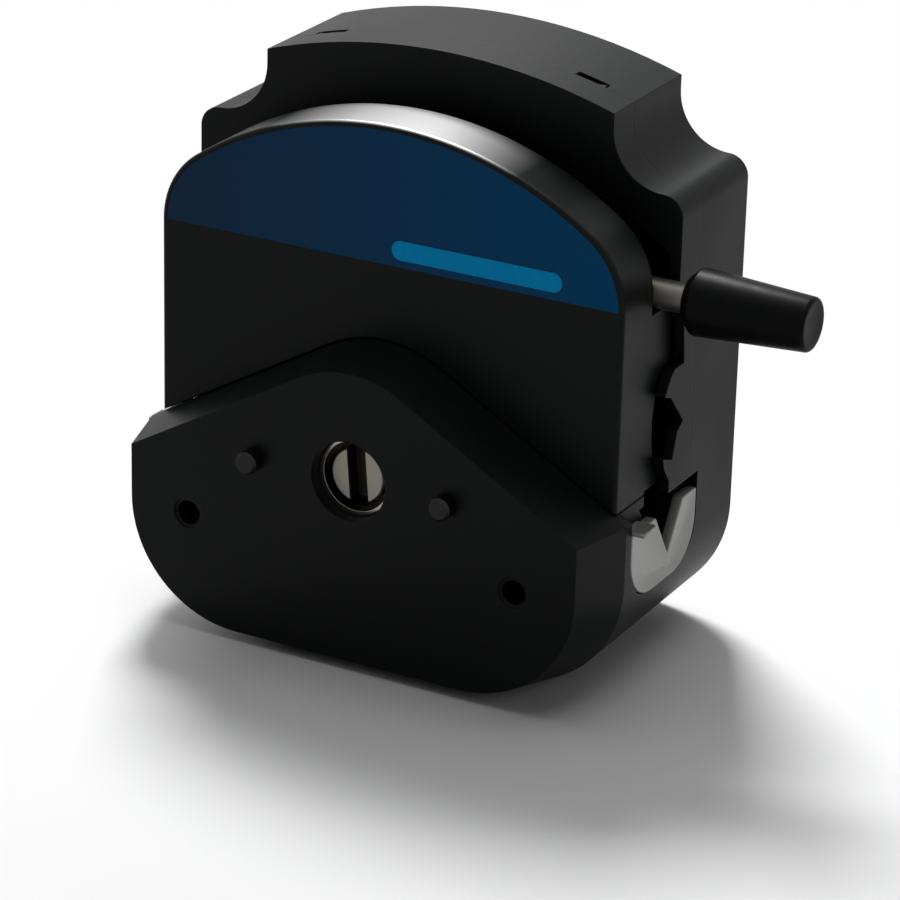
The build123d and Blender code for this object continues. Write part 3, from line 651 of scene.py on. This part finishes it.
class PUMP_OT_studio(bpy.types.Operator):
    """Sets up the pale floor, the soft lamps and the camera"""

    bl_idname = "pump.studio"
    bl_label = "Studio"

    def execute(self, context):
        if "front_housing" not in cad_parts:
            raise RuntimeError("the studio needs front_housing to set its floor under")
        context.scene.view_settings.view_transform = "Standard"
        self.world(context.scene)
        self.floor(context.scene.pump_sizes.floor_reach)
        self.lamps()
        self.camera(context.scene)
        return {"FINISHED"}

    def seen_directly(self, graph):
        """1 for camera, glossy and transmission rays, 0 for rays that light the object."""
        path = graph.node("ShaderNodeLightPath").socket.node.outputs
        camera = Wire(graph, path["Is Camera Ray"])
        glossy = Wire(graph, path["Is Glossy Ray"])
        through = Wire(graph, path["Is Transmission Ray"])
        return camera.math("MAXIMUM", camera.math("MAXIMUM", camera, glossy), through)

    def world(self, scene):
        scene.world = bpy.data.worlds.new("studio_world")
        scene.world.use_nodes = True
        graph = Graph(scene.world.node_tree)
        dim = graph.node("ShaderNodeBackground", {}, {"Color": (0.75, 0.76, 0.78, 1), "Strength": 0.12})
        white = graph.node("ShaderNodeBackground", {}, {"Color": (1, 1, 1, 1), "Strength": 1.0})
        mixed = graph.node("ShaderNodeMixShader", {}, {0: self.seen_directly(graph), 1: dim, 2: white})
        graph.node("ShaderNodeOutputWorld", {}, {"Surface": mixed})

    def floor(self, reach):
        """A floor that keeps the shadow near the object and turns white further out."""
        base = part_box("front_housing")[0].z
        shadow_middle = (45 * MM, -75 * MM, base)
        clear_selection()
        bpy.ops.mesh.primitive_plane_add(size=2 * reach, location=(0, 0, base))
        floor = bpy.context.object
        floor.name = "studio_floor"
        bpy.ops.object.transform_apply(location=True, rotation=True, scale=True)
        material, graph = finish_graph("studio_floor")
        centre = graph.node("ShaderNodeVectorMath", {"operation": "SUBTRACT"},
                            {0: graph.place(), 1: shadow_middle})
        away = graph.node("ShaderNodeVectorMath", {"operation": "LENGTH"}, {0: centre}, "Value")
        share = graph.node("ShaderNodeMapRange", {"interpolation_type": "SMOOTHSTEP"},
                           {"Value": away, "From Min": 60 * MM, "From Max": 155 * MM})
        paper = graph.node("ShaderNodeBsdfDiffuse", {}, {"Color": (0.78, 0.78, 0.785, 1)})
        glow = graph.node("ShaderNodeEmission", {}, {"Color": (1, 1, 1, 1), "Strength": 1.0})
        mixed = graph.node("ShaderNodeMixShader", {},
                           {0: self.seen_directly(graph) * share, 1: paper, 2: glow})
        graph.node("ShaderNodeOutputMaterial", {}, {"Surface": mixed})
        floor.data.materials.append(material)

    def lamps(self):
        """A key lamp behind at the left, a broad one overhead and a weak fill at the right."""
        target = Vector((0, -0.03, 0.01))
        plan = (
            ("key_lamp", (-0.34, 0.46, 0.84), 0.28, 13.5),
            ("top_lamp", (0.05, 0.12, 0.92), 0.9, 3.4),
            ("fill_lamp", (0.85, -0.35, 0.45), 0.6, 0.6),
        )
        for name, place, width, power in plan:
            lamp = bpy.data.lights.new(name, "AREA")
            lamp.shape = "SQUARE"
            lamp.size = width
            lamp.energy = power
            holder = bpy.data.objects.new(name, lamp)
            bpy.context.scene.collection.objects.link(holder)
            holder.location = place
            holder.rotation_mode = "QUATERNION"
            holder.rotation_quaternion = (target - Vector(place)).to_track_quat("-Z", "Y")

    def camera(self, scene):
        """A long lens, high on the right of the front."""
        lens = bpy.data.cameras.new("camera")
        lens.lens = 162.28
        lens.sensor_width = 36.0
        lens.clip_start = 0.01
        lens.clip_end = 100.0
        camera = bpy.data.objects.new("camera", lens)
        scene.collection.objects.link(camera)
        azimuth, elevation, roll = radians(28.0666), radians(22.6732), radians(1.4668)
        camera.matrix_world = (
            Matrix.Translation(Vector((336.002, -650.262, 290.719)) * MM)
            @ Matrix.Rotation(azimuth, 4, "Z")
            @ Matrix.Rotation(pi / 2 - elevation, 4, "X")
            @ Matrix.Rotation(roll, 4, "Z")
        )
        scene.camera = camera


class PUMP_PT_panel(bpy.types.Panel):
    """Lists the steps that dress the pump head"""

    bl_idname = "PUMP_PT_panel"
    bl_label = "Pump Head"
    bl_space_type = "VIEW_3D"
    bl_region_type = "UI"
    bl_category = "Pump Head"

    def draw(self, context):
        for group in (context.scene.pump_sizes, context.scene.pump_colours):
            box = self.layout.box()
            for name in group.__annotations__:
                box.prop(group, name)
        for step in STEPS:
            self.layout.operator(step.bl_idname)


STEPS = (
    PUMP_OT_moulded_shells,
    PUMP_OT_name_label,
    PUMP_OT_lever_knob,
    PUMP_OT_tube_retainers,
    PUMP_OT_machined_pieces,
    PUMP_OT_studio,
)
CLASSES = (PumpHeadSizes, PumpHeadColours, *STEPS, PUMP_PT_panel)


def register():
    for kind in CLASSES:
        bpy.utils.register_class(kind)
    bpy.types.Scene.pump_sizes = bpy.props.PointerProperty(type=PumpHeadSizes)
    bpy.types.Scene.pump_colours = bpy.props.PointerProperty(type=PumpHeadColours)


def unregister():
    del bpy.types.Scene.pump_colours
    del bpy.types.Scene.pump_sizes
    for kind in reversed(CLASSES):
        bpy.utils.unregister_class(kind)


def main():
    register()
    bpy.ops.pump.moulded_shells()
    bpy.ops.pump.name_label()
    bpy.ops.pump.lever_knob()
    bpy.ops.pump.tube_retainers()
    bpy.ops.pump.machined_pieces()
    bpy.ops.pump.studio()


if __name__ == "__main__":
    main()
